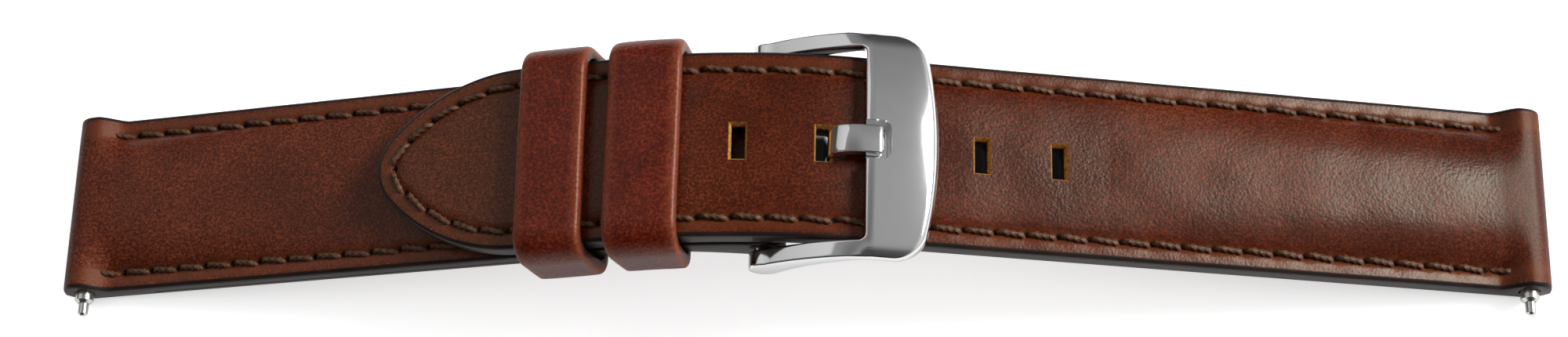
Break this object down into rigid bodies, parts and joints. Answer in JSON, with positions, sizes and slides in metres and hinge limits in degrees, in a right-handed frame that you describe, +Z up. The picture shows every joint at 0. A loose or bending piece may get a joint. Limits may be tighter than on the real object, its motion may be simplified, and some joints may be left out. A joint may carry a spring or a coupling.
{
  "type": "leather watch strap",
  "caption": "Closed two-piece leather watch strap: padded long and short halves, steel tang buckle, fixed and sliding keepers, sprung lug bars.",
  "frame": {"origin": "on the resting plane, halfway between the two lug ends, on the strap's middle line", "axes": "+X along the strap towards the lug end of the long half, +Y to the side away from the picture's camera, +Z up from the resting plane"},
  "size_m": [0.1446, 0.0223, 0.0217],
  "materials": {
    "strap_leather": "satin",
    "keeper_leather": "glossy",
    "lining_leather": "matte",
    "padding_board": "matte",
    "stitch_thread": "matte",
    "polished_steel": "polished",
    "spring_bar_steel": "brushed",
    "spring_steel": "drawn"
  },
  "bodies": {
    "strap": {"long_top_leather": "strap_leather", "long_lining": "lining_leather", "long_padding": "padding_board", "short_top_leather": "strap_leather", "short_lining": "lining_leather", "short_padding": "padding_board", "long_seam_thread": "stitch_thread", "short_seam_thread": "stitch_thread", "fixed_keeper": "keeper_leather"},
    "free_keeper": {"free_keeper": "keeper_leather"},
    "buckle": {"buckle_frame": "polished_steel", "buckle_bar_barrel": "spring_bar_steel", "buckle_bar_spring": "spring_steel"},
    "tang": {"buckle_tang": "polished_steel"},
    "short_lug_bar": {"short_lug_bar_barrel": "spring_bar_steel", "short_lug_bar_spring": "spring_steel"},
    "short_lug_bar_near_tip": {"short_lug_bar_near_tip": "spring_bar_steel"},
    "short_lug_bar_far_tip": {"short_lug_bar_far_tip": "spring_bar_steel"},
    "long_lug_bar": {"long_lug_bar_barrel": "spring_bar_steel", "long_lug_bar_spring": "spring_steel"},
    "long_lug_bar_near_tip": {"long_lug_bar_near_tip": "spring_bar_steel"},
    "long_lug_bar_far_tip": {"long_lug_bar_far_tip": "spring_bar_steel"},
    "buckle_bar_near_tip": {"buckle_bar_near_tip": "spring_bar_steel"},
    "buckle_bar_far_tip": {"buckle_bar_far_tip": "spring_bar_steel"}
  },
  "joints": [
    {"name": "free_keeper_slide", "type": "slide", "parent": "strap", "child": "free_keeper", "axis": [0.9686, 0, 0.2484], "range_m": [-0.036, 0.0014]},
    {"name": "buckle_hinge", "type": "hinge", "parent": "strap", "child": "buckle", "pos_m": [-0.00153, 0, 0.01597], "axis": [0, -1, 0], "range_deg": [0, 8]},
    {"name": "tang_hinge", "type": "hinge", "parent": "buckle", "child": "tang", "pos_m": [-0.00153, 0, 0.01597], "axis": [0, -1, 0], "range_deg": [0, 5]},
    {"name": "short_lug_bar_slide", "type": "slide", "parent": "strap", "child": "short_lug_bar", "axis": [0, 1, 0], "range_m": [0, 0.0023]},
    {"name": "short_lug_bar_near_tip_press", "type": "slide", "parent": "short_lug_bar", "child": "short_lug_bar_near_tip", "axis": [0, 1, 0], "range_m": [0, 0.00125], "stiffness_N_per_m": 500, "deforming": ["short_lug_bar_spring"]},
    {"name": "short_lug_bar_far_tip_press", "type": "slide", "parent": "short_lug_bar", "child": "short_lug_bar_far_tip", "axis": [0, -1, 0], "range_m": [0, 0.00125], "stiffness_N_per_m": 500, "deforming": ["short_lug_bar_spring"]},
    {"name": "long_lug_bar_slide", "type": "slide", "parent": "strap", "child": "long_lug_bar", "axis": [0, 1, 0], "range_m": [0, 0.0023]},
    {"name": "long_lug_bar_near_tip_press", "type": "slide", "parent": "long_lug_bar", "child": "long_lug_bar_near_tip", "axis": [0, 1, 0], "range_m": [0, 0.00125], "stiffness_N_per_m": 500, "deforming": ["long_lug_bar_spring"]},
    {"name": "long_lug_bar_far_tip_press", "type": "slide", "parent": "long_lug_bar", "child": "long_lug_bar_far_tip", "axis": [0, -1, 0], "range_m": [0, 0.00125], "stiffness_N_per_m": 500, "deforming": ["long_lug_bar_spring"]},
    {"name": "buckle_bar_near_tip_press", "type": "slide", "parent": "buckle", "child": "buckle_bar_near_tip", "axis": [0, 1, 0], "range_m": [0, 0.0011], "stiffness_N_per_m": 500, "deforming": ["buckle_bar_spring"]},
    {"name": "buckle_bar_far_tip_press", "type": "slide", "parent": "buckle", "child": "buckle_bar_far_tip", "axis": [0, -1, 0], "range_m": [0, 0.0011], "stiffness_N_per_m": 500, "deforming": ["buckle_bar_spring"]}
  ]
}
